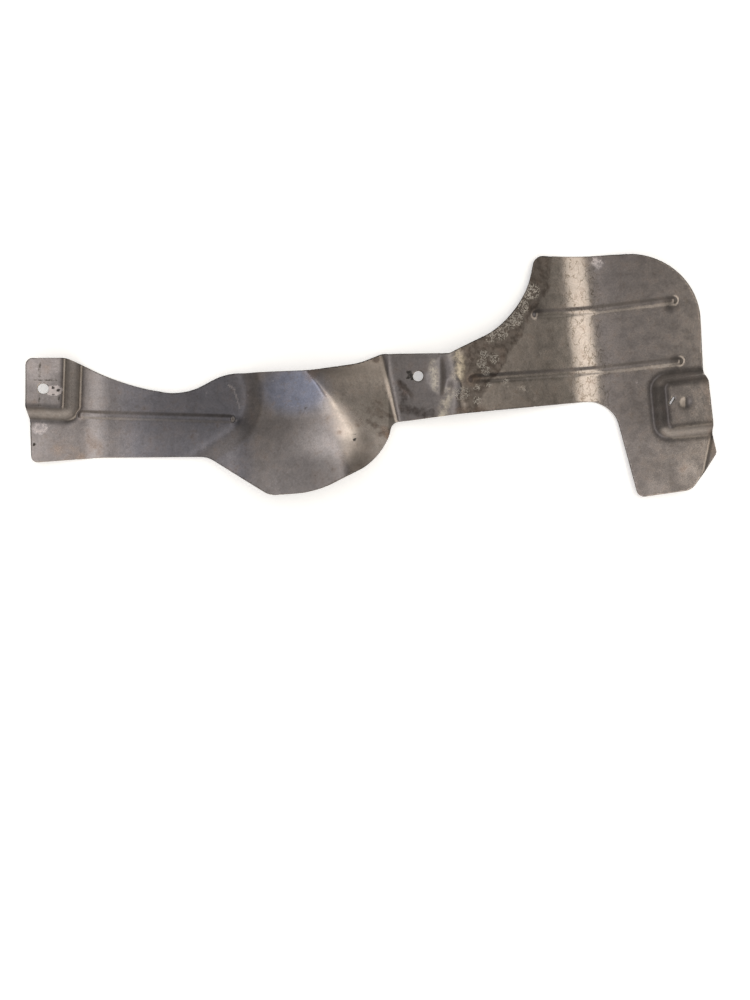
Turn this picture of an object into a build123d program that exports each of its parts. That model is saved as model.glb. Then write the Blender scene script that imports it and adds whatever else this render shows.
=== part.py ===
from build123d import *
import math
import os

# Exhaust heat shield: one blank of thin aluminised steel, cut to its outline and pressed in one die.
# It is modelled as the die makes it.  The punch is a solid whose top is the whole pressed form, the
# sheet is the skin that lies on the punch, and the blank's outline and holes are cut through it.
# Lengths are in millimetres and angles in degrees.  While the form is made, the arm's flat lies at
# height zero and X runs along the shield.  At the end it is laid down as it comes to rest on a floor.

SHEET = 0.8               # thickness of the sheet
PUNCH_DEPTH = 60.0        # solid metal below the arm's flat, only there to build on
REACH = 170.0             # half width of the punch, past the blank on both sides

# Left arm: an end flap, a soft bend and a long flat, seen from the side
BEND_1_X = -233.0
BEND_1_Y = -30.0
ARM_TURN = -2.0           # direction of the arm in plan
FLAP_SLOPE = 13.0         # the end flap rises to the left
FLAP_LENGTH = 110.0       # past the blank's end
ARM_FLAT = 170.0          # length of the flat, hidden under the blister at its right end
BEND_RADIUS = 100.0       # both soft bends

# Right plate: waist, crest, ramp, soft bend and end plate, seen from the side
BEND_2_X = 180.0
BEND_2_Y = 20.0
BEND_2_DROP = 24.5        # how far the second bend lies below the arm's flat
PLATE_TURN = 5.3          # direction of the right plate in plan
PLATE_SLOPE = 5.0         # the end plate rises to the right
PLATE_LENGTH = 150.0      # past the blank's end
RAMP_SLOPE = 13.0         # the ramp rises to the left, from the second bend to the crest
RAMP_LENGTH = 112.0       # measured level
WAIST_SLOPE = 10.0        # the waist falls to the left of the crest
WAIST_LENGTH = 95.0       # runs on under the blister
CREST_RADIUS = 10.0

# Blister: a shallow dome round the end of the arm's flat, cut by a twisted facet that falls to the waist
DOME_X = -140.0           # middle of the round end of the arm's flat
DOME_Y = -20.0
DOME_FOOT = 37.0          # radius of that round end
DOME_WALL_SLOPE = 22.0
DOME_WALL = 12.0          # level length of the straight wall above the foot
DOME_CROWN_SLOPE = 10.0   # where the crown leaves the wall
DOME_RUN = 90.0           # level length of the crown, up to its highest ring
DOME_BEYOND = 65.0        # the crown goes on past its highest ring
DOME_ARC = (-57.0, 18.0)  # directions between which the dome is round
DOME_STRAIGHT = (50.0, 14.0)  # it runs on straight from there, to just past the blank
FOOT_RADIUS = 20.0        # soft hollow at the foot of the wall
WALL_TOP_RADIUS = 12.0
FACET_TOP = (25.0, 7.8, -8.7, 10.3)       # Y, X of the fold, height of the fold, slope
FACET_BOTTOM = (-115.0, 34.0, -6.0, 36.0)
FACET_UP = 230.0          # length of the facet to the left of the fold
FACET_DOWN = 30.0         # and hidden in the waist to its right
RIDGE_RADIUS = 25.0       # between the blister and the facet
FOLD_RADIUS = 10.0        # between the facet and the waist

# Raised fixing pads, both running off the blank's edge
PAD_WALL_SLOPE = 45.0
PAD_SINK = 3.0            # the pad's foot goes on below the face it stands on
PAD_CORNER = 12.0
PAD_TOP_RADIUS = 7.0
PAD_FOOT_RADIUS = 7.0
PAD_STOP = 10.0           # past the blank, how far short of the flap's or plate's end it stops
FLAP_PAD_HEIGHT = 8.0
FLAP_PAD_RIGHT = -16.5    # its right foot, left of the first bend
FLAP_PAD_FRONT = -10.0    # its front foot
PLATE_PAD_HEIGHT = 6.0
PLATE_PAD_LEFT = 52.5     # its left foot, right of the second bend
PLATE_PAD_MIDDLE = -54.0
PLATE_PAD_WIDTH = 52.0

# Stiffening beads, half round with round ends
BEAD_WIDTH = 7.0
BEAD_HEIGHT = 1.5
BEAD_FOOT_RADIUS = 1.5
ARM_BEAD = (-4.5, 1.0, 114.0)  # Y, how far it starts past the soft bend, end along the arm
PLATE_BEADS = ((33.5, -39.0, 74.0), (-17.5, -98.0, 74.0))  # Y, start and end along the plate

# Pinched crest: a round dent pressed into it
DENT_Y = -22.0            # across the plate, in the plate's frame
DENT_BALL = 22.0
DENT_DEPTH = 1.5
DENT_RIM_RADIUS = 3.0

# Bent corner of the end plate, folded down along a slanting hinge
HINGE_X = 95.5            # upper end of the hinge, on the end plate's face
HINGE_Y = -81.5
HINGE_TURN = -16.0
CORNER_FOLD = 30.0
CORNER_REACH = 45.0       # past the blank
CORNER_RADIUS = 4.0

# Holes and small marks
CUT_REACH = 3.0              # how far each cutter reaches above and below the sheet's lower face
HOLE_DIAMETER = 8.5
FLAP_HOLE = (-42.4, 14.5)    # on the flap pad's face, from the first bend
WAIST_HOLE = (-31.5, -10.0)  # X from the crest, Y across the plate
PIP_PLACE = (76.0, -52.5)    # on the plate pad's face: a round pip, pressed in but not pierced
PIP_BALL = 8.0
PIP_DEPTH = 1.0
SLIT_PLACE = (65.0, -50.0)
SLIT_LENGTH = 6.5
SLIT_WIDTH = 1.4
SLIT_TURN = 55.0

# Blank, clockwise from its upper left corner: X, Y and corner radius
BLANK = (
    (-285.3, 11.0, 5.8), (-254.0, 12.0, 12.5), (-213.0, -8.8, 180.0), (-159.2, -18.5, 47.0),
    (-123.3, -0.2, 43.0), (-53.0, 0.2, 65.0), (-11.1, 8.0, 49.0), (8.4, 16.6, 10.0),
    (64.2, 14.9, 6.5), (125.6, 46.8, 76.0), (136.5, 99.4, 8.5), (184.6, 100.2, 50.0),
    (270.2, 102.6, 60.0), (275.2, -2.1, 4.0), (277.4, -8.5, 8.0), (281.8, -49.3, 16.0),
    (287.9, -67.0, 4.0), (266.1, -98.2, 10.0), (223.8, -104.5, 6.0), (202.6, -23.4, 25.0),
    (180.4, -23.2, 50.0), (33.8, -39.8, 25.0), (16.6, -41.3, 7.5), (11.2, -71.5, 47.0),
    (-45.3, -100.0, 74.0), (-83.5, -102.8, 15.0), (-138.0, -70.2, 21.0), (-232.4, -70.7, 50.0),
    (-285.0, -75.4, 5.0), (-286.1, -36.9, 8.0), (-285.5, -21.2, 8.0),
)


def rise(length, slope):
    """Height gained over a level length."""
    return length * math.tan(math.radians(slope))


def side_block(top):
    """Solid below a side profile.  Each corner of the profile is X, height and bend radius."""
    first, last = top[0], top[-1]
    corners = [(first[0], -PUNCH_DEPTH)] + [(x, z) for x, z, bend in top] + [(last[0], -PUNCH_DEPTH)]
    section = make_face(Polyline(*corners, close=True))
    for x, z, bend in top[1:-1]:
        section = fillet(section.vertices().sort_by_distance((x, z, 0))[0], bend)
    return extrude(Plane.XZ * section, amount=REACH, both=True)


def arm_place():
    """Where the arm's own frame lies: its origin is on the first bend, X runs along the arm."""
    return Pos(BEND_1_X, BEND_1_Y, 0) * Rot(0, 0, ARM_TURN)


def plate_place():
    """Where the right plate's own frame lies: its origin is on the second bend."""
    return Pos(BEND_2_X, BEND_2_Y, -BEND_2_DROP) * Rot(0, 0, PLATE_TURN)


def arm():
    flap = (-FLAP_LENGTH, rise(FLAP_LENGTH, FLAP_SLOPE), 0)
    block = side_block([flap, (0, 0, BEND_RADIUS), (ARM_FLAT, 0, 0)])
    return arm_place() * block


def plate():
    crest_height = rise(RAMP_LENGTH, RAMP_SLOPE)
    waist_end = (-RAMP_LENGTH - WAIST_LENGTH, crest_height - rise(WAIST_LENGTH, WAIST_SLOPE), 0)
    crest = (-RAMP_LENGTH, crest_height, CREST_RADIUS)
    plate_end = (PLATE_LENGTH, rise(PLATE_LENGTH, PLATE_SLOPE), 0)
    block = side_block([waist_end, crest, (0, 0, BEND_RADIUS), plate_end])
    return plate_place() * block


def dome_turned(section):
    """A section turned about the end of the arm's flat, and drawn out straight at both ends."""
    first, last = DOME_ARC
    upright = Plane.XZ * section
    turned = Rot(0, 0, first) * revolve(upright, Axis.Z, last - first)
    front = Rot(0, 0, first) * extrude(upright, amount=DOME_STRAIGHT[0])
    back = Rot(0, 0, last) * extrude(upright, amount=-DOME_STRAIGHT[1])
    return Pos(DOME_X, DOME_Y, 0) * (turned + front + back)


def dome():
    """The blister's round side: flat middle, soft foot, straight wall and a shallow crown."""
    wall_top = (DOME_FOOT + DOME_WALL, rise(DOME_WALL, DOME_WALL_SLOPE))
    curve = DOME_RUN / math.sin(math.radians(DOME_CROWN_SLOPE))
    middle = (wall_top[0] + DOME_RUN, wall_top[1] - curve * math.cos(math.radians(DOME_CROWN_SLOPE)))
    end_x = middle[0] + DOME_BEYOND
    end = (end_x, middle[1] + math.sqrt(curve ** 2 - DOME_BEYOND ** 2))
    low = Polyline(end, (end_x, -PUNCH_DEPTH), (0, -PUNCH_DEPTH), (0, 0), (DOME_FOOT, 0), wall_top)
    top = ThreePointArc(wall_top, (middle[0], middle[1] + curve), end)
    section = make_face(low + top)
    for x, z, bend in ((DOME_FOOT, 0, FOOT_RADIUS), (*wall_top, WALL_TOP_RADIUS)):
        section = fillet(section.vertices().sort_by_distance((x, z, 0))[0], bend)
    return dome_turned(section)


def facet():
    """Everything below the twisted facet, ruled between a section at the top and one at the bottom."""
    sections = []
    for y, fold_x, fold_z, slope in (FACET_TOP, FACET_BOTTOM):
        left, right = fold_x - FACET_UP, fold_x + FACET_DOWN
        corners = [
            (left, -PUNCH_DEPTH),
            (left, fold_z + rise(FACET_UP, slope)),
            (right, fold_z - rise(FACET_DOWN, slope)),
            (right, -PUNCH_DEPTH),
        ]
        sections.append(Plane.XZ.offset(-y) * make_face(Polyline(*corners, close=True)))
    return loft(sections, ruled=True)


def pad(length, width, height):
    """A raised pad with sloping walls, its foot centred on the origin."""
    grow = rise(PAD_SINK, 90 - PAD_WALL_SLOPE)
    foot = RectangleRounded(length + 2 * grow, width + 2 * grow, PAD_CORNER + grow)
    block = extrude(foot, PAD_SINK + height, taper=90 - PAD_WALL_SLOPE)
    block = fillet(block.faces().sort_by(Axis.Z)[-1].edges(), PAD_TOP_RADIUS)
    return Pos(0, 0, -PAD_SINK) * block


def bead(y, stations):
    """A half-round bead below which lies a round bar, along stations of X and surface height."""
    bar = (BEAD_WIDTH ** 2 / 4 + BEAD_HEIGHT ** 2) / (2 * BEAD_HEIGHT)
    sunk = bar - BEAD_HEIGHT
    points = [(x, y, z - sunk) for x, z in stations]
    line = Polyline(*points) if len(points) == 2 else FilletPolyline(*points, radius=BEND_RADIUS)
    body = sweep(Plane(line @ 0, z_dir=line % 0) * Circle(bar), path=line)
    return body + Pos(line @ 0) * Sphere(bar) + Pos(line @ 1) * Sphere(bar)


def join_with_foot(form, piece, radius):
    """Add a pressed feature to the form and round the foot where the two meet."""
    joined = form + piece
    foot = new_edges(form, piece, combined=joined)
    return fillet(foot, radius)


def blistered_arm():
    """The arm with the blister in place of its far end, the ridge still sharp."""
    far = 2 * REACH
    corners = [(0, -far), (0, far), (far, far), (far, -far)]
    share = dome_turned(make_face(Polyline(*corners, close=True)))
    return (arm() - share) + (dome() & facet())


def round_edge_at(form, place, radius):
    """Round the edge that passes nearest to a place."""
    return fillet(form.edges().sort_by_distance(place)[0], radius)


def flap_pad_place():
    """Frame of the flap pad's raised face: its origin is above the first bend."""
    return arm_place() * Rot(0, FLAP_SLOPE, 0) * Pos(0, 0, FLAP_PAD_HEIGHT)


def plate_pad_place():
    """Frame of the plate pad's raised face: its origin is above the second bend."""
    return plate_place() * Rot(0, -PLATE_SLOPE, 0) * Pos(0, 0, PLATE_PAD_HEIGHT)


def waist_place(from_crest, y):
    """Frame on the waist's face, a level distance to the left of the crest."""
    height = rise(RAMP_LENGTH, RAMP_SLOPE) - rise(from_crest, WAIST_SLOPE)
    return plate_place() * Pos(-RAMP_LENGTH - from_crest, y, height) * Rot(0, -WAIST_SLOPE, 0)


def flap_pad():
    size = FLAP_LENGTH + FLAP_PAD_RIGHT - PAD_STOP
    middle = (FLAP_PAD_RIGHT - size / 2, FLAP_PAD_FRONT + size / 2)
    return flap_pad_place() * Pos(*middle, -FLAP_PAD_HEIGHT) * pad(size, size, FLAP_PAD_HEIGHT)


def plate_pad():
    length = PLATE_LENGTH - PLATE_PAD_LEFT - PAD_STOP
    middle = (PLATE_PAD_LEFT + length / 2, PLATE_PAD_MIDDLE)
    block = pad(length, PLATE_PAD_WIDTH, PLATE_PAD_HEIGHT)
    return plate_pad_place() * Pos(*middle, -PLATE_PAD_HEIGHT) * block


def arm_bead():
    y, past_bend, end = ARM_BEAD
    start = -rise(BEND_RADIUS, FLAP_SLOPE / 2) - past_bend
    stations = [(start, rise(-start, FLAP_SLOPE)), (0, 0), (end, 0)]
    return arm_place() * bead(y, stations)


def plate_bead(y, start, end):
    stations = [(start, rise(-start, RAMP_SLOPE)), (0, 0), (end, rise(end, PLATE_SLOPE))]
    return plate_place() * bead(y, stations)


def corner_wedge():
    """What the folded corner leaves empty: a wedge that hangs over the hinge."""
    fall = -rise(CORNER_REACH, CORNER_FOLD)
    corners = [(0, 0), (0, CORNER_REACH), (CORNER_REACH, CORNER_REACH), (CORNER_REACH, fall)]
    section = Plane.XZ * make_face(Polyline(*corners, close=True))
    wedge = extrude(section, amount=CORNER_REACH, both=True)
    hinge = plate_place() * Rot(0, -PLATE_SLOPE, 0) * Pos(HINGE_X, HINGE_Y, 0) * Rot(0, 0, HINGE_TURN)
    halfway_down = hinge * Pos(0, -CORNER_REACH / 2, 0)
    return hinge * wedge, halfway_down.position


def dented(form, place, ball_radius, depth, rim_radius):
    """Press a ball into the form at a place and round the rim."""
    ball = place * Pos(0, 0, ball_radius - depth) * Sphere(ball_radius)
    pressed = form - ball
    return fillet(new_edges(form, ball, combined=pressed), rim_radius)


def punch():
    """The whole pressed form as the top of one solid."""
    form = blistered_arm() + plate()
    fold_x, fold_y = (FACET_TOP[1] + FACET_BOTTOM[1]) / 2, (FACET_TOP[0] + FACET_BOTTOM[0]) / 2
    wall_x = DOME_X + DOME_FOOT + DOME_WALL
    ridge = ((wall_x + fold_x) / 2, DOME_Y, rise(DOME_RUN, DOME_CROWN_SLOPE))
    form = round_edge_at(form, ridge, RIDGE_RADIUS)
    form = round_edge_at(form, (fold_x, fold_y, FACET_TOP[2]), FOLD_RADIUS)
    form = join_with_foot(form, flap_pad(), PAD_FOOT_RADIUS)
    form = join_with_foot(form, plate_pad(), PAD_FOOT_RADIUS)
    form = join_with_foot(form, arm_bead(), BEAD_FOOT_RADIUS)
    for y, start, end in PLATE_BEADS:
        form = join_with_foot(form, plate_bead(y, start, end), BEAD_FOOT_RADIUS)
    form = dented(form, waist_place(0, DENT_Y), DENT_BALL, DENT_DEPTH, DENT_RIM_RADIUS)
    form = dented(form, plate_pad_place() * Pos(*PIP_PLACE), PIP_BALL, PIP_DEPTH, PIP_DEPTH)
    wedge, hinge_place = corner_wedge()
    form = form - wedge
    return round_edge_at(form, hinge_place, CORNER_RADIUS)


def blank():
    """The blank's outline as a prism through the whole form."""
    outline = make_face(Polyline(*[(x, y) for x, y, corner in BLANK], close=True))
    for x, y, corner in BLANK:
        outline = fillet(outline.vertices().sort_by_distance((x, y, 0))[0], corner)
    return extrude(outline, amount=PUNCH_DEPTH, both=True)


def holes():
    """Cutters for the two fixing holes and the slit."""
    drill = Cylinder(HOLE_DIAMETER / 2, 2 * CUT_REACH)
    slot = extrude(SlotOverall(SLIT_LENGTH, SLIT_WIDTH, rotation=SLIT_TURN), amount=CUT_REACH, both=True)
    return [
        flap_pad_place() * Pos(*FLAP_HOLE) * drill,
        waist_place(-WAIST_HOLE[0], WAIST_HOLE[1]) * drill,
        plate_pad_place() * Pos(*SLIT_PLACE) * slot,
    ]


def rest_tilt():
    """How far the form must turn about Y to stand level on its two soft bends."""
    low_1 = (BEND_1_X + rise(BEND_RADIUS, FLAP_SLOPE / 2), BEND_RADIUS)
    lean = math.radians((RAMP_SLOPE - PLATE_SLOPE) / 2)
    far = BEND_RADIUS / math.cos(math.radians((RAMP_SLOPE + PLATE_SLOPE) / 2))
    low_2 = (BEND_2_X + far * math.sin(lean), far * math.cos(lean) - BEND_2_DROP)
    return math.degrees(math.atan2(low_1[1] - low_2[1], low_2[0] - low_1[0]))


def heat_shield():
    form = punch()
    sheet = ((Pos(0, 0, SHEET) * form) & blank()) - form
    for cutter in holes():
        sheet = sheet - cutter
    return Rot(0, -rest_tilt(), 0) * sheet


def main():
    os.makedirs("parts", exist_ok=True)
    shield = heat_shield()
    box = shield.bounding_box()
    shield = Pos(-box.center().X, -box.center().Y, -box.min.Z) * shield
    shield.label = "heat_shield"
    export_step(shield, "parts/heat_shield.step")


if __name__ == "__main__":
    main()
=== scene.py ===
import math

import bmesh
import bpy
import numpy as np
from mathutils import Matrix, Vector


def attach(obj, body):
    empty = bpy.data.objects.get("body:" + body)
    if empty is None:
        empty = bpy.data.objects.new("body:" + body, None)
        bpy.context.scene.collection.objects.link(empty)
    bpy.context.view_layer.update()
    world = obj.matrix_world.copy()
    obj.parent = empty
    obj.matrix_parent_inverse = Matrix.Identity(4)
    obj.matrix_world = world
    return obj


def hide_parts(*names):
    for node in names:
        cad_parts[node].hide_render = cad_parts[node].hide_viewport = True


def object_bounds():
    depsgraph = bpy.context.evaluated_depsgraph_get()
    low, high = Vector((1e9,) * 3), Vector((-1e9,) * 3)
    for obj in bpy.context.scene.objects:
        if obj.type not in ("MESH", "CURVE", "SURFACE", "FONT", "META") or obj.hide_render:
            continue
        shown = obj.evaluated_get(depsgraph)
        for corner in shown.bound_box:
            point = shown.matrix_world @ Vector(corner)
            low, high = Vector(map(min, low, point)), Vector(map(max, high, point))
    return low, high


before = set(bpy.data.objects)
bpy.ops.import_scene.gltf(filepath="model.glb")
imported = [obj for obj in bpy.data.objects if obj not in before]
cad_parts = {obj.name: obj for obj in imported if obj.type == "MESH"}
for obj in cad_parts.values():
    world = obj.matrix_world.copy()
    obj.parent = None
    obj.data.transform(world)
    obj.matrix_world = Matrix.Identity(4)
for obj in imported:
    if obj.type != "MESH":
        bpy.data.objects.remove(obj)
cad_low, cad_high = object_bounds()

# The blank.
# One flat piece of thin aluminised steel, cut to its outline with two round holes and a narrow slit.
# Lengths are in millimetres until the sheet is laid down.
SHEET = 0.8
CELL = 1.3
OUTLINE = [
    (-285.3, 11.0, 5.8), (-254.0, 12.0, 12.5), (-213.0, -8.8, 180.0), (-159.2, -18.5, 47.0),
    (-123.3, -0.2, 43.0), (-53.0, 0.2, 65.0), (-11.1, 8.0, 49.0), (8.4, 16.6, 10.0),
    (64.2, 14.9, 6.5), (125.6, 46.8, 76.0), (136.5, 99.4, 8.5), (184.6, 100.2, 50.0),
    (270.2, 102.6, 60.0), (275.2, -2.1, 4.0), (277.4, -8.5, 8.0), (281.8, -49.3, 16.0),
    (287.9, -67.0, 4.0), (266.1, -98.2, 10.0), (223.8, -104.5, 6.0), (202.6, -23.4, 25.0),
    (180.4, -23.2, 50.0), (33.8, -39.8, 25.0), (16.6, -41.3, 7.5), (11.2, -71.5, 47.0),
    (-45.3, -100.0, 74.0), (-83.5, -102.8, 15.0), (-138.0, -70.2, 21.0), (-232.4, -70.7, 50.0),
    (-285.0, -75.4, 5.0), (-286.1, -36.9, 8.0), (-285.5, -21.2, 8.0),
]
HOLE_RADIUS = 4.25
FLAP_HOLE = (-272.0, -14.1)
WAIST_HOLE = (38.3, -3.2)
SLIT = (248.6, -23.9)
SLIT_LENGTH = 6.5
SLIT_WIDTH = 1.4
SLIT_TURN = 60.0
STOCK = (600.0, 230.0)
STOCK_DEPTH = 4.0
CUTTER_DEPTH = 16.0
DRILL_DEPTH = 20.0
CORNER_STEP = 2.5
MERGE = 0.25


def outline_prism(corners):
    """A solid cutter with the blank's outline, each corner rounded to its own radius."""
    cutter = bmesh.new()
    points = [cutter.verts.new((x, y, -CUTTER_DEPTH / 2)) for x, y, radius in corners]
    cutter.faces.new(points)
    for index, (x, y, radius) in enumerate(corners):
        before = Vector(corners[index - 1][:2]) - Vector((x, y))
        after = Vector(corners[(index + 1) % len(corners)][:2]) - Vector((x, y))
        turn = math.pi - before.angle(after)
        bmesh.ops.bevel(
            cutter, geom=[points[index]], offset=radius * math.tan(turn / 2), offset_type="OFFSET",
            segments=max(4, round(radius * turn / CORNER_STEP)), profile=0.5, affect="VERTICES", material=-1,
        )
    raised = bmesh.ops.extrude_face_region(cutter, geom=cutter.faces[:])
    top = [v for v in raised["geom"] if isinstance(v, bmesh.types.BMVert)]
    bmesh.ops.translate(cutter, verts=top, vec=(0, 0, CUTTER_DEPTH))
    bmesh.ops.recalc_face_normals(cutter, faces=cutter.faces)
    return cutter


def hole_cutters():
    """Round drills for the two holes and a flat punch for the slit."""
    cutters = bmesh.new()
    for x, y in (FLAP_HOLE, WAIST_HOLE):
        bmesh.ops.create_cone(
            cutters, cap_ends=True, segments=40, radius1=HOLE_RADIUS, radius2=HOLE_RADIUS,
            depth=DRILL_DEPTH, matrix=Matrix.Translation((x, y, 0)),
        )
    place = Matrix.Translation((*SLIT, 0)) @ Matrix.Rotation(math.radians(SLIT_TURN), 4, "Z")
    size = Matrix.Diagonal((SLIT_LENGTH, SLIT_WIDTH, DRILL_DEPTH, 1))
    bmesh.ops.create_cube(cutters, size=1, matrix=place @ size)
    return cutters


def as_object(name, shape):
    """Turn a bmesh into an object in the scene."""
    mesh = bpy.data.meshes.new(name)
    shape.to_mesh(mesh)
    shape.free()
    made = bpy.data.objects.new(name, mesh)
    bpy.context.scene.collection.objects.link(made)
    return made


def cut(target, cutter, operation):
    """Cut one object with another and drop the cutter."""
    step = target.modifiers.new("cut", "BOOLEAN")
    step.operation = operation
    step.solver = "EXACT"
    step.object = cutter
    bpy.context.view_layer.update()
    evaluated = target.evaluated_get(bpy.context.evaluated_depsgraph_get())
    mesh = bpy.data.meshes.new_from_object(evaluated)
    target.modifiers.clear()
    target.data = mesh
    bpy.data.objects.remove(cutter)


def stock_sheet():
    """Flat stock, larger than the blank: a fine grid on top of a closed slab."""
    stock = bmesh.new()
    bmesh.ops.create_grid(
        stock, x_segments=round(STOCK[0] / CELL), y_segments=round(STOCK[1] / CELL), size=1,
        matrix=Matrix.Diagonal((STOCK[0] / 2, STOCK[1] / 2, 1, 1)),
    )
    rim = [edge for edge in stock.edges if edge.is_boundary]
    lowered = bmesh.ops.extrude_edge_only(stock, edges=rim)
    low = [v for v in lowered["geom"] if isinstance(v, bmesh.types.BMVert)]
    bmesh.ops.translate(stock, verts=low, vec=(0, 0, -STOCK_DEPTH))
    bmesh.ops.contextual_create(stock, geom=[edge for edge in stock.edges if edge.is_boundary])
    bmesh.ops.recalc_face_normals(stock, faces=stock.faces)
    return stock


shield = as_object("heat_shield_sheet", stock_sheet())
punched = as_object("blank_cutter", outline_prism(OUTLINE))
cut(punched, as_object("drills", hole_cutters()), "DIFFERENCE")
cut(shield, punched, "INTERSECT")

blank = bmesh.new()
blank.from_mesh(shield.data)
not_top = [face for face in blank.faces if face.normal.z < 0.5]
bmesh.ops.delete(blank, geom=not_top, context="FACES")
bmesh.ops.remove_doubles(blank, verts=blank.verts, dist=MERGE)
bmesh.ops.triangulate(blank, faces=[face for face in blank.faces if len(face.verts) > 4])
blank.to_mesh(shield.data)
blank.free()

# The pressed form.
# One die gives the blank its soft bends, crest, blister, two pads, beads, pip and folded corner.  The main
# sizes are the CAD's.  The ridge is softer here, the crest pinched, the pip shallower and the waist damaged.
BEND_1 = (-233.0, -30.0)
ARM_TURN = -2.0
FLAP_SLOPE = 13.0
BEND_2 = (180.0, 20.0)
BEND_2_DROP = 24.5
PLATE_TURN = 5.3
PLATE_SLOPE = 5.0
RAMP_SLOPE = 13.0
RAMP_LENGTH = 112.0
WAIST_SLOPE = 10.0
BEND_RADIUS = 100.0
CREST_RADIUS = 10.0
CREST_PINCH = [(-50, 4.5), (-38, 3.6), (-24, 0.9), (-18, 0.9), (-5, 2.6), (8, 4.0)]
DOME = (-140.0, -20.0)
DOME_ARC = (-57.0, 18.0)
DOME_FOOT = 37.0
DOME_WALL = 12.0
DOME_WALL_SLOPE = 22.0
DOME_CROWN_SLOPE = 10.0
DOME_RUN = 90.0
FOOT_RADIUS = 20.0
CROWN_BLEND = 0.3
FACET_TOP = (25.0, 7.8, -8.7, 10.3)
FACET_BOTTOM = (-115.0, 34.0, -6.0, 36.0)
RULE_UP = 230.0
RULE_DOWN = 30.0
RIDGE_BLEND = [(-100, 14.0), (-62, 9.0), (-30, 2.3), (-5, 0.4)]
FOLD_BLEND = 2.2
PAD_RADIUS = 7.0
FLAP_PAD = ((-100.0, -6.0), (-20.5, 80.0))
FLAP_PAD_HEIGHT = 8.0
FLAP_PAD_CORNER = 8.0
PLATE_PAD = ((55.5, -77.0), (145.0, -31.0))
PLATE_PAD_HEIGHT = 6.0
PLATE_PAD_CORNER = 9.0
BEAD_WIDTH = 7.0
BEAD_HEIGHT = 1.5
BEAD_BLEND = 0.7
ARM_BEAD = (-4.5, -12.4, 114.0)
UPPER_BEAD = (33.5, -39.0, 74.0)
LOWER_BEAD = (-17.5, -98.0, 74.0)
DENT = (-115.6, -22.0)
DENT_RADIUS = 22.0
DENT_SINK = 0.2
DENT_BLEND = 1.4
HINGE = (95.1, -81.5)
HINGE_TURN = -16.0
HINGE_REACH = 1.1
CORNER_SLOPE = 30.0
PIP = (75.2, -52.5)
PIP_RADIUS = 3.9
PIP_DEPTH = 0.5
PIP_BLEND = 0.3
HOLLOW_ACROSS = [(45.0, 0.0), (57.0, 1.0), (61.0, 0.0)]
HOLLOW_Y = -4.0
HOLLOW_HALF_LENGTH = 17.0
HOLLOW_DEPTH = 0.9
GOUGE = [(21.5, -8.0), (26.0, -12.5), (31.5, -19.0)]
GOUGE_REACH = 3.0
GOUGE_DEPTH = 0.3


def tan(degrees):
    return math.tan(math.radians(degrees))


def read_along(place, stops):
    """The amount at a place, read along stops of (place, amount)."""
    return np.interp(place, *np.transpose(stops))


def turned(x, y, origin, turn):
    """Plan coordinates in a frame turned about its origin."""
    c, s = math.cos(math.radians(turn)), math.sin(math.radians(turn))
    dx, dy = x - origin[0], y - origin[1]
    return dx * c + dy * s, dy * c - dx * s


def soft_step(d, reach):
    """Zero before d 0 and d after it, with a bend of half length reach between."""
    t = np.clip((d + reach) / (2 * reach), 0, 1)
    return reach * t ** 2 + np.maximum(d - reach, 0)


def soft_max(a, b, blend):
    h = np.clip(0.5 + 0.5 * (a - b) / blend, 0, 1)
    return b * (1 - h) + a * h + blend * h * (1 - h)


def soft_min(a, b, blend):
    return -soft_max(-a, -b, blend)


def arm_heights(x, y):
    along, across = turned(x, y, BEND_1, ARM_TURN)
    reach = BEND_RADIUS * tan(FLAP_SLOPE / 2)
    return tan(FLAP_SLOPE) * soft_step(-along, reach)


def plate_heights(x, y):
    along, across = turned(x, y, BEND_2, PLATE_TURN)
    bend_reach = BEND_RADIUS * tan((RAMP_SLOPE + PLATE_SLOPE) / 2)
    crest_radius = CREST_RADIUS * read_along(across, CREST_PINCH)
    crest_reach = crest_radius * tan((RAMP_SLOPE + WAIST_SLOPE) / 2)
    ramp = -tan(RAMP_SLOPE) * along + (tan(RAMP_SLOPE) + tan(PLATE_SLOPE)) * soft_step(along, bend_reach)
    waist = (tan(RAMP_SLOPE) + tan(WAIST_SLOPE)) * soft_step(-along - RAMP_LENGTH, crest_reach)
    return ramp - waist - BEND_2_DROP


def dome_distance(x, y):
    """Distance out from the blister's centre, round at its end and straight past its arc."""
    dx, dy = x - DOME[0], y - DOME[1]
    direction = np.degrees(np.arctan2(dy, dx))
    ends = [dx * math.cos(math.radians(a)) + dy * math.sin(math.radians(a)) for a in DOME_ARC]
    on_arc = (direction > DOME_ARC[0]) & (direction < DOME_ARC[1])
    return np.where(on_arc, np.hypot(dx, dy), np.maximum(*ends))


def dome_heights(x, y):
    """The blister's soft foot, wall and crown."""
    out = dome_distance(x, y)
    curve = DOME_RUN / math.sin(math.radians(DOME_CROWN_SLOPE))
    ring = DOME_FOOT + DOME_WALL + DOME_RUN
    middle = DOME_WALL * tan(DOME_WALL_SLOPE) - curve * math.cos(math.radians(DOME_CROWN_SLOPE))
    wall = tan(DOME_WALL_SLOPE) * soft_step(out - DOME_FOOT, FOOT_RADIUS * tan(DOME_WALL_SLOPE / 2))
    crown = middle + np.sqrt(curve ** 2 - (np.maximum(out, DOME_FOOT + DOME_WALL / 2) - ring) ** 2)
    return soft_min(wall, crown, CROWN_BLEND)


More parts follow.
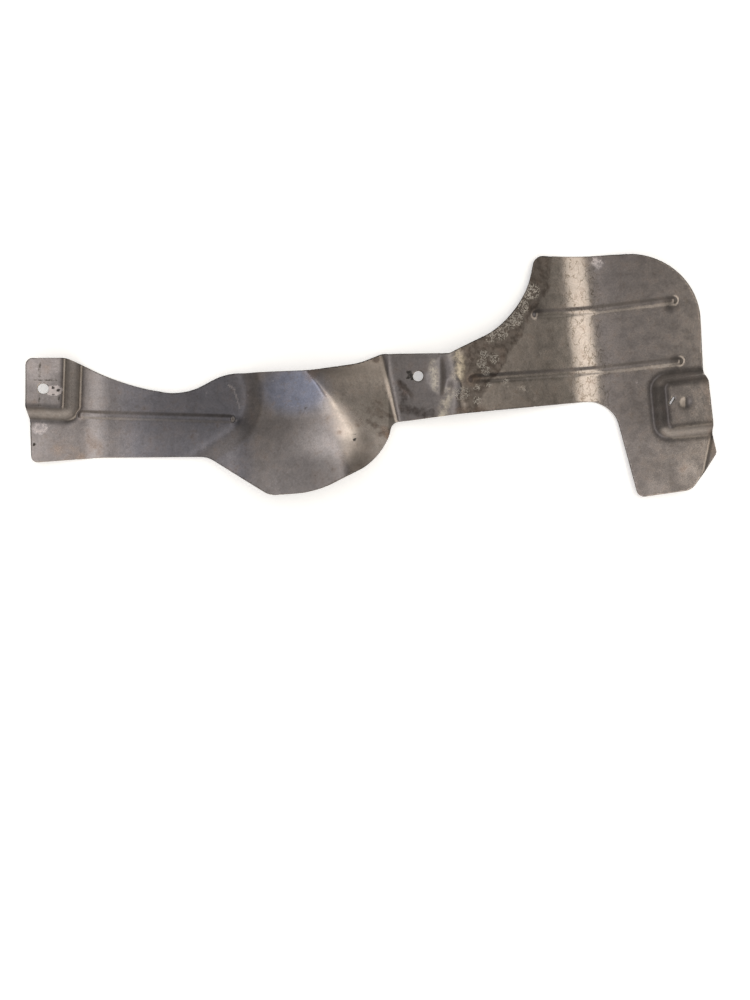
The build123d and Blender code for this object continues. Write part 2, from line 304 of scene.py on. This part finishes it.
def facet_heights(x, y):
    """The twisted facet, ruled between two sections, each Y, fold X, fold height and slope."""
    down = np.maximum((FACET_TOP[0] - y) / (FACET_TOP[0] - FACET_BOTTOM[0]), 0)
    fold_x = FACET_TOP[1] + down * (FACET_BOTTOM[1] - FACET_TOP[1])
    left = [z + RULE_UP * tan(slope) for place, fold, z, slope in (FACET_TOP, FACET_BOTTOM)]
    right = [z - RULE_DOWN * tan(slope) for place, fold, z, slope in (FACET_TOP, FACET_BOTTOM)]
    left_z = left[0] + down * (left[1] - left[0])
    right_z = right[0] + down * (right[1] - right[0])
    across = (x - fold_x + RULE_UP) / (RULE_UP + RULE_DOWN)
    return left_z + across * (right_z - left_z)


def inside_rectangle(x, y, low, high, corner):
    """Distance inside a rectangle with round corners, negative outside."""
    px = np.abs(x - (low[0] + high[0]) / 2) - (high[0] - low[0]) / 2 + corner
    py = np.abs(y - (low[1] + high[1]) / 2) - (high[1] - low[1]) / 2 + corner
    outside = np.hypot(np.maximum(px, 0), np.maximum(py, 0))
    return corner - outside - np.minimum(np.maximum(px, py), 0)


def pad_heights(x, y, slope, low, high, height, corner):
    """A raised pad on a face that falls along X, from low to high at the middle of its 45 degree walls."""
    rounding = PAD_RADIUS * tan(22.5)
    cosine, sine = math.cos(math.radians(slope)), math.sin(math.radians(slope))
    raised = np.zeros_like(x)
    for attempt in range(8):
        inside = inside_rectangle(x / cosine - raised * sine, y, low, high, corner)
        raised = soft_step(inside + height / 2, rounding) - soft_step(inside - height / 2, rounding)
        raised /= cosine
    return raised


def bead_heights(x, y, middle, start, end):
    """A half-round bead along X at Y middle, between two ends, standing on its surface."""
    bar = (BEAD_WIDTH ** 2 / 4 + BEAD_HEIGHT ** 2) / (2 * BEAD_HEIGHT)
    beyond = np.maximum(np.maximum(start - x, x - end), 0)
    away = np.hypot(beyond, y - middle)
    round_back = np.sqrt(np.maximum(bar ** 2 - away ** 2, 0)) - (bar - BEAD_HEIGHT)
    return soft_max(round_back, np.zeros_like(x), BEAD_BLEND)


def away_from(x, y, points):
    """Distance to a line through points."""
    nearest = np.full_like(x, 1000.0)
    for (x1, y1), (x2, y2) in zip(points, points[1:]):
        run_x, run_y = x2 - x1, y2 - y1
        part = np.clip(((x - x1) * run_x + (y - y1) * run_y) / (run_x ** 2 + run_y ** 2), 0, 1)
        nearest = np.minimum(nearest, np.hypot(x - x1 - part * run_x, y - y1 - part * run_y))
    return nearest


def wrinkle_heights(x, y):
    """Damage at the waist: a lens-shaped hollow left of the crest, and a gouge near the fold."""
    across = read_along(x, HOLLOW_ACROSS)
    hollow = np.maximum(across - ((y - HOLLOW_Y) / HOLLOW_HALF_LENGTH) ** 2, 0)
    gouge = np.clip(1 - away_from(x, y, GOUGE) / GOUGE_REACH, 0, 1)
    return -HOLLOW_DEPTH * hollow - GOUGE_DEPTH * gouge ** 2 * (3 - 2 * gouge)


def pressed_heights(x, y):
    """Height of the sheet's underside over the whole blank."""
    crown = arm_heights(x, y) + dome_heights(x, y)
    blister = soft_min(crown, facet_heights(x, y), read_along(y, RIDGE_BLEND))
    form = soft_max(blister, plate_heights(x, y), FOLD_BLEND)
    arm_x, arm_y = turned(x, y, BEND_1, ARM_TURN)
    plate_x, plate_y = turned(x, y, BEND_2, PLATE_TURN)
    form += pad_heights(arm_x, arm_y, FLAP_SLOPE, *FLAP_PAD, FLAP_PAD_HEIGHT, FLAP_PAD_CORNER)
    form += pad_heights(plate_x, plate_y, -PLATE_SLOPE, *PLATE_PAD, PLATE_PAD_HEIGHT, PLATE_PAD_CORNER)
    form += bead_heights(arm_x, arm_y, *ARM_BEAD)
    form += bead_heights(plate_x, plate_y, *UPPER_BEAD)
    form += bead_heights(plate_x, plate_y, *LOWER_BEAD)
    from_dent = np.hypot(plate_x - DENT[0], plate_y - DENT[1])
    dent = DENT_RADIUS - np.sqrt(np.maximum(DENT_RADIUS ** 2 - from_dent ** 2, 0))
    form = soft_min(form, dent - DENT_SINK, DENT_BLEND)
    hinge_x, hinge_y = turned(plate_x, plate_y, HINGE, HINGE_TURN)
    form -= tan(CORNER_SLOPE) * soft_step(hinge_x, HINGE_REACH)
    from_pip = np.hypot(plate_x - PIP[0], plate_y - PIP[1])
    bowl = soft_min(np.full_like(x, PIP_DEPTH), PIP_DEPTH * (from_pip / PIP_RADIUS) ** 2, PIP_BLEND)
    form -= PIP_DEPTH - bowl
    return form + wrinkle_heights(x, y)


def rest_tilt():
    """How far the form turns about Y to stand level on its two soft bends."""
    low_1 = (BEND_1[0] + BEND_RADIUS * tan(FLAP_SLOPE / 2), BEND_RADIUS)
    lean = math.radians((RAMP_SLOPE - PLATE_SLOPE) / 2)
    far = BEND_RADIUS / math.cos(math.radians((RAMP_SLOPE + PLATE_SLOPE) / 2))
    low_2 = (BEND_2[0] + far * math.sin(lean), far * math.cos(lean) - BEND_2_DROP)
    return math.atan2(low_1[1] - low_2[1], low_2[0] - low_1[0])


def laid_down(points):
    """Turn the pressed points to their rest, in metres, and seat them in the CAD's box."""
    tilt = rest_tilt()
    x = points[:, 0] * math.cos(tilt) - points[:, 2] * math.sin(tilt)
    z = points[:, 0] * math.sin(tilt) + points[:, 2] * math.cos(tilt)
    laid = np.column_stack([x, points[:, 1], z]) / 1000
    middle = (laid.min(axis=0) + laid.max(axis=0)) / 2
    laid[:, 0] += (cad_low.x + cad_high.x) / 2 - middle[0]
    laid[:, 1] += (cad_low.y + cad_high.y) / 2 - middle[1]
    laid[:, 2] += cad_low.z + SHEET / 1000 - laid[:, 2].min()
    return laid


flat = np.empty(len(shield.data.vertices) * 3)
shield.data.vertices.foreach_get("co", flat)
flat = flat.reshape(-1, 3)
flat[:, 2] = pressed_heights(flat[:, 0], flat[:, 1])
shield.data.vertices.foreach_set("co", laid_down(flat).ravel())
shield.data.update()

skin = bmesh.new()
skin.from_mesh(shield.data)
for face in skin.faces:
    face.smooth = True
skin.to_mesh(shield.data)
skin.free()

thick = shield.modifiers.new("sheet thickness", "SOLIDIFY")
thick.thickness = SHEET / 1000
thick.offset = -1
thick.use_even_offset = False

# The weathering and the painted light.
# Soot, rust and handling have stained the aluminised skin, and a blue tint lies on it.  Painted light
# and shade, painted highlights and painted shadows lie on it too.  Each is painted on the sheet's points, in
# the die's plan, and a stain's ragged edge comes from the material's own noise.
# The tones below, with the spot and streak tones, are painted light and shade that scale the metal's colour:
# shade on the arm towards the blister, the blister's wall and lower part, the facet's top, the waist, the
# ramp, the pad walls' edges and the hinge, and light on the plate's soft bend and towards low Y.
ARM_TONES = [(-235, 1.0), (-212, 1.05), (-180, 0.56), (-150, 0.43), (-105, 0.32)]
FACET_TONES = [(-30, 1.15), (-18, 0.9), (0, 0.42)]
PLATE_TONES = [(-95, 0.46), (-60, 0.55), (-30, 0.70), (-12, 1.08), (14, 1.08), (34, 0.89)]
DEPTH_TONES = [(-60, 1.35), (-40, 1.0), (40, 1.0), (90, 0.88)]
PAD_WALL_TONES = [(0, 1.0), (2.5, 0.7), (4, 0.4), (6.5, 0.45), (9, 1.0)]
FLAP_WALL_X = -19.1
PLATE_WALL_X = 55.0
WAIST_X = 14
WAIST_TONE = 0.68
BLISTER_FOOT = (27, 45)
BLISTER_WALL = 44
BLISTER_WALL_SHADE = (-0.1, 2, 9)
HINGE_SHADE = (-0.55, 1.0, 3.5)

# A field is its change of tone, then its soft edges at the back, given as minus Y, at the left and right.
FIELD_TONES = [
    (-0.35, (28, 48), (-120, -105), (-75, -35)),
    (-0.55, (58, 80), (-85, -45), (0, 14)),
]

# A group of spots is its amount, then the X, Y and radius of each.
# Painted light on the blister, the flap pad's face and the end plate, and painted shade over the shining
# bead ends and the pip.
SPOT_TONES = [
    (0.3, [(-62, -16, 20)]),
    (0.4, [(-274, 4, 14), (-265, 6, 8)]),
    (-0.5, [(249, 57, 6), (254, 9, 6), (137, 53, 6), (-114, -40, 4), (259, -27.5, 5)]),
    (0.3, [(264, -83, 9), (238, -96, 8)]),
]
# Painted shade on the facet's lower right, then a dark patch by the gouge, both in the soot's colour.
FACET_SHADE_SPOTS = [(0.5, [(4, -36, 16), (12, -48, 9)])]
RUST_SPOTS = [
    (0.8, [(14, -52, 4), (10, -47, 3), (-49, -2, 6), (-20, 7, 3), (3, 12, 3)]),
    (0.8, [(84, -7, 5), (74, -34, 5), (90, -34, 5)]),
    (0.45, [(-264, -63, 8), (-250, -66, 8), (-237, -62, 9), (-280, -30, 5), (-270, 6, 5)]),
]
FLAKE_SPOTS = [
    (1.0, [(133, 69, 9), (127, 56, 7), (121, 46, 7), (114, 41, 7), (107, 33, 8), (99, 29, 6)]),
    (1.0, [(93, 14, 5), (91, 7, 5), (102, 11, 5), (95, 1, 5), (87, -13, 4), (97, -11, 3)]),
    (1.0, [(87, -24, 4), (74, -18, 8)]),
]
RUBBED_SPOTS = [(1.0, [(-36, -27, 5), (-28, -37, 9), (-22, -47, 12), (-15, -57, 13), (-8, -70, 13)])]
# Pits, then the dark middle of the cross at the waist hole, which is painted shadow, then flecks beside the
# left hole.
DARK_SPOTS = [
    (1.0, [(-283, -60, 1.2), (-13.6, -57, 1.3), (-13.6, -53, 0.8), (-54, -31, 0.9)]),
    (1.0, [(32.6, -2.0, 1.8), (30.4, 0.6, 1.3), (30.2, -4.2, 1.3), (33.4, -5.4, 1.2)]),
    (1.0, [(-264.5, -13.2, 1.2), (-264.4, -18.7, 1.0), (-260.3, -15.1, 1.6)]),
]
PALE_SPOTS = [(0.6, [(189, 94, 6), (-278, -46, 6), (-111.3, -28.5, 1.2), (-114.3, -40, 1.2)])]

# A streak is its amount, its points, how far out it stays full, and where it ends.
# A painted highlight along the blister's ridge, painted light at its foot, and painted shade on the facet
# beside it.
STREAK_TONES = [
    (1.0, [(-34, -28), (-27, -40), (-22, -49)], 0, 14),
    (0.3, [(-25, -68), (-24, -86)], 0, 10),
    (-0.45, [(-6, -60), (-12, -86)], 2, 13),
]
DARK_WAIST_STREAKS = [(0.75, [(23, -9), (28, -16), (27, -31), (48, -34)], 1, 8)]
RUST_STREAKS = [(0.35, GOUGE, 0.5, 5), (0.5, [(276, -8), (280, -45), (286, -72)], 1, 6)]
FLAKE_STREAKS = [(0.6, [(111, -9), (141, -16)], 2, 9)]
# Painted highlights on the crest's facets and on the lens beside them.
HIGHLIGHT_STREAKS = [
    (1.0, [(69, 15), (73, 5), (71, -4)], -1, 8),
    (0.8, [(50, 7), (52, -3), (53, -13)], -1, 6),
    (1.0, [(64, -17), (61, -27), (58, -38)], -1, 7),
]
# Witness lines round the left hole, then a cross at the waist hole and two lines beside the slit, which are
# painted shadow.
DARK_LINES = [
    [(-278.5, -7.2), (-261.7, -6.7)], [(-274.6, 7.0), (-274.7, -4.6)], [(-274.7, -19.5), (-274.8, -27.8)],
    [(-260.2, -20.8), (-260.2, -24.1)], [(28.5, 1.5), (34.0, -4.5)], [(33.0, 1.5), (29.0, -4.5)],
    [(246.2, -26.6), (249.4, -21.0)], [(248.0, -27.4), (251.0, -21.8)],
]
DARK_STREAKS = [(0.62, line, 0.3, 1.4) for line in DARK_LINES]
PALE_STREAKS = [(0.7, [(-121.5, -9), (-116, -14), (-111.3, -29)], 0.2, 1.3)]

# The soot ends on the ramp along these places, each Y and X.
SOOT_EDGE = [
    (-40, 84), (-28, 88), (-11, 96), (4, 109), (17, 115), (27, 122), (35, 126), (49, 132), (55, 138),
    (70, 149), (98, 151),
]
SOOT_BLUR = 5
SOOT_START = (62, 84)
SCRATCHED = (8, 24)

# An oval is its middle's X and Y and its two half sizes, and its edge is where it fades.
# The blister's blue tint is a painted reflection of cool light.
COOL_TINT_BLISTER = (-65, -16, 32, 22)
COOL_TINT_BLISTER_EDGE = (0.5, 1.2)
COOL_TINT_ARM = 0.4
COOL_TINT_ARM_START = (-235, -200)
COOL_TINT_ARM_END = (-110, -90)
SCUFF = (-264, -15.5, 7.5, 4.5)
SCUFF_EDGE = (0.75, 1.1)


def smooth(value, low, high):
    """A soft step from 0 at low to 1 at high."""
    t = np.clip((value - low) / (high - low), 0, 1)
    return t * t * (3 - 2 * t)


def spots(x, y, places):
    """One inside small round spots, fading to nothing round them."""
    found = np.zeros_like(x)
    for spot_x, spot_y, radius in places:
        away = np.hypot(x - spot_x, y - spot_y)
        found = np.maximum(found, 1 - smooth(away, 0.4 * radius, 1.6 * radius))
    return found


def streak(x, y, points, full, end):
    """One along a line of points, fading to nothing beside it."""
    return 1 - smooth(away_from(x, y, points), full, end)


def stained(x, y, spot_groups=(), streaks=()):
    """The strongest of some groups of spots and some streaks."""
    found = np.zeros_like(x)
    for amount, places in spot_groups:
        found = np.maximum(found, amount * spots(x, y, places))
    for amount, points, full, end in streaks:
        found = np.maximum(found, amount * streak(x, y, points, full, end))
    return found


def oval(x, y, middle_x, middle_y, half_x, half_y):
    """Distance from the middle of an oval, as a share of its half sizes."""
    return np.hypot((x - middle_x) / half_x, (y - middle_y) / half_y)


def near(away, change, full, end):
    """A factor that changes tones near a line, given the distance from it."""
    return 1 + change * (1 - smooth(np.abs(away), full, end))


def pad_wall_shading(x, y):
    """Painted shade on the pads' walls, darker at their top and foot."""
    arm_x, arm_y = turned(x, y, BEND_1, ARM_TURN)
    plate_x, plate_y = turned(x, y, BEND_2, PLATE_TURN)
    flap_high = (FLAP_WALL_X, FLAP_PAD[1][1])
    plate_low = (PLATE_WALL_X, PLATE_PAD[0][1])
    flap_wall = inside_rectangle(arm_x, arm_y, FLAP_PAD[0], flap_high, FLAP_PAD_CORNER)
    plate_wall = inside_rectangle(plate_x, plate_y, plate_low, PLATE_PAD[1], PLATE_PAD_CORNER)
    return read_along(np.abs(flap_wall), PAD_WALL_TONES) * read_along(np.abs(plate_wall), PAD_WALL_TONES)


def blister_shading(x, y):
    """Painted shade: the arm darkens towards the blister's foot and a little along its wall, and the
    blister's facet has its own painted tones.
    """
    out = dome_distance(x, y)
    arm = read_along(x, ARM_TONES)
    tones = arm + (1 - arm) * smooth(out, *BLISTER_FOOT)
    tones *= near(out - BLISTER_WALL, *BLISTER_WALL_SHADE)
    on_facet = (facet_heights(x, y) < arm_heights(x, y) + dome_heights(x, y)) & (x < WAIST_X)
    return tones * np.where(on_facet, read_along(y, FACET_TONES), 1)


def plate_shading(x, y):
    """Painted light and shade: the waist has one tone, the ramp and end plate change along their length, and
    the hinge is darker.
    """
    plate_x, plate_y = turned(x, y, BEND_2, PLATE_TURN)
    hinge_x, hinge_y = turned(plate_x, plate_y, HINGE, HINGE_TURN)
    waist = np.where(x > WAIST_X, WAIST_TONE, 1)
    plate = read_along(plate_x, PLATE_TONES) * near(hinge_x, *HINGE_SHADE)
    return np.where(plate_x < -RAMP_LENGTH, waist, plate)


def painted_shading_map(x, y):
    """Broad painted light and shade, lighter and darker areas of the skin."""
    painted_shading = blister_shading(x, y) * plate_shading(x, y) * pad_wall_shading(x, y) * read_along(y, DEPTH_TONES)
    for change, depth, left, right in FIELD_TONES:
        painted_shading *= 1 + change * smooth(-y, *depth) * smooth(x, *left) * (1 - smooth(x, *right))
    for change, places in SPOT_TONES:
        painted_shading *= 1 + change * spots(x, y, places)
    for change, points, full, end in STREAK_TONES:
        painted_shading *= 1 + change * streak(x, y, points, full, end)
    return painted_shading


# The soot on the ramp, with painted shade on the facet and a dark patch by the gouge mixed in.
def soot_and_shade_map(x, y):
    ramp = smooth(read_along(y, SOOT_EDGE) - x, -SOOT_BLUR, SOOT_BLUR) * smooth(x, *SOOT_START)
    return np.maximum(ramp, stained(x, y, FACET_SHADE_SPOTS, DARK_WAIST_STREAKS))


def rust_map(x, y):
    return stained(x, y, RUST_SPOTS, RUST_STREAKS)


def flake_map(x, y):
    return stained(x, y, FLAKE_SPOTS, FLAKE_STREAKS)


def scratch_map(x, y):
    """Scratches show dark where the soft bend of the plate shines."""
    plate_x, plate_y = turned(x, y, BEND_2, PLATE_TURN)
    return 1 - smooth(np.abs(plate_x), *SCRATCHED)


def painted_highlight_map(x, y):
    """Painted highlights on the facets of the pinched crest and the lens beside it."""
    return stained(x, y, streaks=HIGHLIGHT_STREAKS)


def worn_map(x, y):
    """The blister's ridge and the crest are rubbed dull, so they glow softly and mirror nothing."""
    return np.maximum(stained(x, y, RUBBED_SPOTS), 0.6 * painted_highlight_map(x, y))


def cool_tint_map(x, y):
    """A blue tint, on the blister a painted reflection of cool light, and a little on the arm."""
    blister = 1 - smooth(oval(x, y, *COOL_TINT_BLISTER), *COOL_TINT_BLISTER_EDGE)
    arm = smooth(x, *COOL_TINT_ARM_START) * (1 - smooth(x, *COOL_TINT_ARM_END))
    return np.maximum(blister, COOL_TINT_ARM * arm)


def marks_and_shadow_map(x, y):
    """Small dark marks and pits, and painted shadow at the waist hole and beside the slit."""
    return stained(x, y, DARK_SPOTS, DARK_STREAKS)


def pale_map(x, y):
    """The scuff beside the left hole, and paler scratches and patches."""
    scuff = 1 - smooth(oval(x, y, *SCUFF), *SCUFF_EDGE)
    return np.maximum(scuff, stained(x, y, PALE_SPOTS, PALE_STREAKS))


maps = {
    "painted_shading": painted_shading_map, "soot_and_shade": soot_and_shade_map, "rust": rust_map, "flake": flake_map, "cool_tint": cool_tint_map,
    "marks_and_shadow": marks_and_shadow_map, "pale": pale_map, "scratch": scratch_map, "worn": worn_map, "painted_highlight": painted_highlight_map,
}
for stain, stain_map in maps.items():
    amounts = shield.data.attributes.new(stain, "FLOAT", "POINT")
    amounts.data.foreach_set("value", stain_map(flat[:, 0], flat[:, 1]).astype(np.float32))

# The metal.
# Aluminised steel, rolled to a dull shine and dulled further by heat.  Each stain painted above is mixed
# over it in turn, with its own colour, and so are the painted highlights and painted shadows.  The painted
# light and shade then scale its colour.
ROLLED_COOL = (0.270, 0.240, 0.222, 1)
ROLLED_WARM = (0.286, 0.258, 0.243, 1)
# A blue tint, on the blister a painted reflection of cool light.
COOL_TINT = (0.200, 0.214, 0.272, 1)
GRIME = (0.225, 0.188, 0.163, 1)
FRECKLES = (0.200, 0.165, 0.140, 1)
# The soot's colour, also used for painted shade on the facet and a dark patch by the gouge.
SOOT_AND_SHADE_COLOUR = (0.106, 0.090, 0.081, 1)
# The colour of the painted highlights on the crest.
PAINTED_HIGHLIGHT_COLOUR = (0.80, 0.71, 0.57, 1)
SCRATCHES = (0.10, 0.08, 0.06, 1)
FLAKES = (0.60, 0.56, 0.51, 1)
PALE = (0.52, 0.47, 0.465, 1)
RUST = (0.15, 0.085, 0.05, 1)
# Dark marks, and painted shadow at the waist hole and beside the slit.
DARK_MARKS_AND_SHADOW = (0.03, 0.025, 0.022, 1)
DULL_ROUGHNESS = 0.75
RELIEF = 0.0004

metal = bpy.data.materials.new("aluminised_steel")
metal.use_nodes = True
nodes, links = metal.node_tree.nodes, metal.node_tree.links
surface = nodes["Principled BSDF"]
on_sheet = nodes.new("ShaderNodeTexCoord").outputs["Object"]


def feed(socket, value):
    """Link an output to a socket, or set a plain value on it."""
    if isinstance(value, bpy.types.NodeSocket):
        links.new(value, socket)
    else:
        socket.default_value = value


def noise(scale, detail, roughness, stretch=(1, 1, 1)):
    scaled = nodes.new("ShaderNodeMapping")
    feed(scaled.inputs["Vector"], on_sheet)
    feed(scaled.inputs["Scale"], stretch)
    cloud = nodes.new("ShaderNodeTexNoise")
    feed(cloud.inputs["Vector"], scaled.outputs["Vector"])
    feed(cloud.inputs["Scale"], scale)
    feed(cloud.inputs["Detail"], detail)
    feed(cloud.inputs["Roughness"], roughness)
    return cloud.outputs["Fac"]


def math_step(operation, *values):
    step = nodes.new("ShaderNodeMath")
    step.operation = operation
    for socket, value in zip(step.inputs, values):
        feed(socket, value)
    return step.outputs["Value"]


def spread(value, from_low, from_high, to_low=0.0, to_high=1.0):
    """Map one range to another, softly, without leaving it."""
    mapped = nodes.new("ShaderNodeMapRange")
    mapped.interpolation_type = "SMOOTHSTEP"
    feed(mapped.inputs["Value"], value)
    feed(mapped.inputs["From Min"], from_low)
    feed(mapped.inputs["From Max"], from_high)
    feed(mapped.inputs["To Min"], to_low)
    feed(mapped.inputs["To Max"], to_high)
    return mapped.outputs["Result"]


def painted(stain):
    """The amount of a stain painted on the sheet's points."""
    reader = nodes.new("ShaderNodeAttribute")
    reader.attribute_name = stain
    return reader.outputs["Fac"]


def ragged(stain, cloud, amount, softness):
    """A painted stain whose edge is broken up by a noise."""
    pushed = math_step("MULTIPLY_ADD", math_step("SUBTRACT", cloud, 0.5), amount, painted(stain))
    return spread(pushed, 0.5 - softness, 0.5 + softness)


def veins(cloud, width):
    """Thin wandering lines, where a noise passes its middle value."""
    return spread(math_step("ABSOLUTE", math_step("SUBTRACT", cloud, 0.5)), 0.3 * width, width, 1.0, 0.0)


def mixed(amount, under, over):
    blend = nodes.new("ShaderNodeMix")
    blend.data_type = "RGBA"
    feed(blend.inputs[0], amount)
    feed(blend.inputs[6], under)
    feed(blend.inputs[7], over)
    return blend.outputs[2]


broad = noise(22.0, 3.0, 0.55)
medium = noise(110.0, 5.0, 0.6)
fine = noise(620.0, 3.0, 0.6)
rolled = noise(90.0, 4.0, 0.6, (0.35, 2.0, 1.0))
crackle = noise(390.0, 3.0, 0.55)
strokes = noise(140.0, 4.0, 0.5, (1.0, 0.6, 1.0))

patchy = spread(noise(240.0, 4.0, 0.65), 0.35, 0.6, 1.0, 0.55)
soot_and_shade = math_step("MULTIPLY", ragged("soot_and_shade", medium, 2.2, 0.22), patchy)
rust = math_step("MULTIPLY", ragged("rust", medium, 2.2, 0.6), 0.5)
flaking = spread(math_step("ADD", painted("flake"), noise(75.0, 3.0, 0.6)), 1.08, 1.4)
flake = math_step("MULTIPLY", veins(crackle, 0.05), flaking)
marks_and_shadow = ragged("marks_and_shadow", crackle, 1.2, 0.25)
pale = ragged("pale", noise(260.0, 4.0, 0.6), 1.6, 0.35)
scratch = math_step("MULTIPLY", veins(strokes, 0.02), painted("scratch"))
painted_highlight = math_step("MULTIPLY", painted("painted_highlight"), spread(noise(190.0, 5.0, 0.7), 0.4, 0.6, 0.1, 0.9))

colour = mixed(spread(broad, 0.35, 0.65), ROLLED_COOL, ROLLED_WARM)
colour = mixed(math_step("MULTIPLY", painted("cool_tint"), 0.85), colour, COOL_TINT)
colour = mixed(spread(broad, 0.48, 0.7, 0.0, 0.3), colour, GRIME)
colour = mixed(spread(noise(280.0, 3.0, 0.6), 0.52, 0.7, 0.0, 0.35), colour, FRECKLES)
colour = mixed(soot_and_shade, colour, SOOT_AND_SHADE_COLOUR)
colour = mixed(painted_highlight, colour, PAINTED_HIGHLIGHT_COLOUR)
colour = mixed(math_step("MULTIPLY", scratch, 0.65), colour, SCRATCHES)
colour = mixed(flake, colour, FLAKES)
colour = mixed(pale, colour, PALE)
colour = mixed(rust, colour, RUST)
colour = mixed(marks_and_shadow, colour, DARK_MARKS_AND_SHADOW)

mottle_and_shading = math_step("ADD", spread(medium, 0.3, 0.7, 0.9, 1.09), spread(fine, 0.3, 0.7, -0.08, 0.08))
mottle_and_shading = math_step("MULTIPLY", mottle_and_shading, spread(rolled, 0.3, 0.7, 0.97, 1.03))
# The painted light and shade scale the mottled colour here.
mottle_and_shading = math_step("MULTIPLY", mottle_and_shading, painted("painted_shading"))
toned = nodes.new("ShaderNodeVectorMath")
toned.operation = "SCALE"
feed(toned.inputs[0], colour)
feed(toned.inputs["Scale"], mottle_and_shading)
feed(surface.inputs["Base Color"], toned.outputs[0])

crust = math_step("MULTIPLY", math_step("MAXIMUM", pale, flake), 0.6)
dull = math_step("MAXIMUM", math_step("MAXIMUM", rust, marks_and_shadow), crust)
feed(surface.inputs["Metallic"], math_step("SUBTRACT", 1.0, dull))
gloss = math_step("ADD", spread(medium, 0.3, 0.7, 0.12, 0.17), math_step("MULTIPLY", soot_and_shade, 0.08))
gloss = math_step("MULTIPLY_ADD", painted("worn"), 0.3, gloss)
feed(surface.inputs["Roughness"], math_step("MAXIMUM", gloss, math_step("MULTIPLY", dull, DULL_ROUGHNESS)))

relief = nodes.new("ShaderNodeBump")
feed(relief.inputs["Strength"], 0.2)
feed(relief.inputs["Distance"], RELIEF)
feed(relief.inputs["Height"], math_step("ADD", medium, math_step("MULTIPLY", flake, 0.5)))
feed(surface.inputs["Normal"], relief.outputs["Normal"])

shield.data.materials.clear()
shield.data.materials.append(metal)
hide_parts("heat_shield")
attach(shield, "root")

# The floor.
# A plain sheet of white paper that the shield lies on, part of the setting and not of the object.  The
# camera and the shield's metal see it lifted towards white, and it keeps the shield's shadow.
FLOOR_HALF_SIZE = 6.0
PAPER_WHITE = (0.93, 0.93, 0.93, 1)
PAPER_ROUGHNESS = 0.9
PAPER_LIFT = 0.35

floor_shape = bmesh.new()
bmesh.ops.create_grid(floor_shape, x_segments=1, y_segments=1, size=FLOOR_HALF_SIZE)
floor = as_object("floor", floor_shape)
paper = bpy.data.materials.new("white_paper")
paper.use_nodes = True
nodes, links = paper.node_tree.nodes, paper.node_tree.links
paper_surface = nodes["Principled BSDF"]
floor_rays = nodes.new("ShaderNodeLightPath").outputs
seen = math_step("MAXIMUM", floor_rays["Is Camera Ray"], floor_rays["Is Glossy Ray"])
feed(paper_surface.inputs["Base Color"], PAPER_WHITE)
feed(paper_surface.inputs["Roughness"], PAPER_ROUGHNESS)
feed(paper_surface.inputs["Emission Color"], (1, 1, 1, 1))
feed(paper_surface.inputs["Emission Strength"], math_step("MULTIPLY", seen, PAPER_LIFT))
floor.data.materials.append(paper)

# The light.
# A dim ceiling with two long soft windows in it, one cool and one warm, both running front to back.
# Flat faces reflect the dim ceiling, and each bend sweeps past a window and shows it as a bright band.
FRONT_WALL = (1.15, 1.10, 1.02, 1)
BACK_WALL = (0.42, 0.40, 0.38, 1)
WALL_STARTS = 0.3
WALL_FULL = 0.75

# A stop of the ceiling is degrees right of straight up, then red, green and blue.
CEILING = [
    (-90, 0.32, 0.31, 0.30), (-60, 0.32, 0.31, 0.30), (-40, 0.46, 0.44, 0.42), (-28, 0.57, 0.56, 0.56),
    (-19, 0.95, 0.95, 0.98), (-14, 1.42, 1.42, 1.46), (-8, 1.38, 1.37, 1.40), (-5, 0.92, 0.91, 0.93),
    (0, 0.65, 0.63, 0.63), (5, 0.54, 0.52, 0.50), (8.6, 0.62, 0.59, 0.55), (10.2, 2.20, 2.08, 1.85),
    (16, 2.75, 2.58, 2.30), (22, 2.60, 2.44, 2.18), (27, 1.90, 1.78, 1.58), (31, 0.62, 0.59, 0.54),
    (35, 0.50, 0.48, 0.42), (47, 0.74, 0.71, 0.65), (64, 0.60, 0.58, 0.55), (90, 0.75, 0.73, 0.70),
]

world = bpy.data.worlds.new("studio")
bpy.context.scene.world = world
world.use_nodes = True
nodes, links = world.node_tree.nodes, world.node_tree.links
background = nodes["Background"]
direction = nodes.new("ShaderNodeSeparateXYZ")
feed(direction.inputs["Vector"], nodes.new("ShaderNodeTexCoord").outputs["Generated"])
lean = math_step("ARCTAN2", direction.outputs["X"], direction.outputs["Z"])
ceiling = nodes.new("ShaderNodeValToRGB")
feed(ceiling.inputs["Fac"], math_step("MULTIPLY_ADD", lean, 1 / math.pi, 0.5))
stops = ceiling.color_ramp.elements
while len(stops) < len(CEILING):
    stops.new(1.0)
for stop, (degrees, red, green, blue) in zip(stops, CEILING):
    stop.position = (degrees + 90) / 180
    stop.color = (red, green, blue, 1)
wall_share = spread(math_step("ABSOLUTE", direction.outputs["Y"]), WALL_STARTS, WALL_FULL)
walls = mixed(math_step("MULTIPLY_ADD", direction.outputs["Y"], 0.5, 0.5), FRONT_WALL, BACK_WALL)
room = mixed(wall_share, ceiling.outputs["Color"], walls)
sky_rays = nodes.new("ShaderNodeLightPath").outputs
feed(background.inputs["Color"], mixed(sky_rays["Is Camera Ray"], room, (1, 1, 1, 1)))

# The camera.
# It looks straight down on the shield from about arm's length, and the picture's long side takes in the
# length given here at floor level.
CAMERA_HEIGHT = 0.640
CAMERA_PLACE = (0.00175, -0.1051)
PICTURE_LONG_SIDE = 0.850
SENSOR_MM = 36.0

camera_data = bpy.data.cameras.new("camera")
camera_data.sensor_width = SENSOR_MM
camera_data.lens = SENSOR_MM * CAMERA_HEIGHT / PICTURE_LONG_SIDE
camera = bpy.data.objects.new("camera", camera_data)
camera.location = (*CAMERA_PLACE, CAMERA_HEIGHT)
bpy.context.scene.collection.objects.link(camera)
bpy.context.scene.camera = camera
bpy.context.scene.view_settings.view_transform = "Standard"
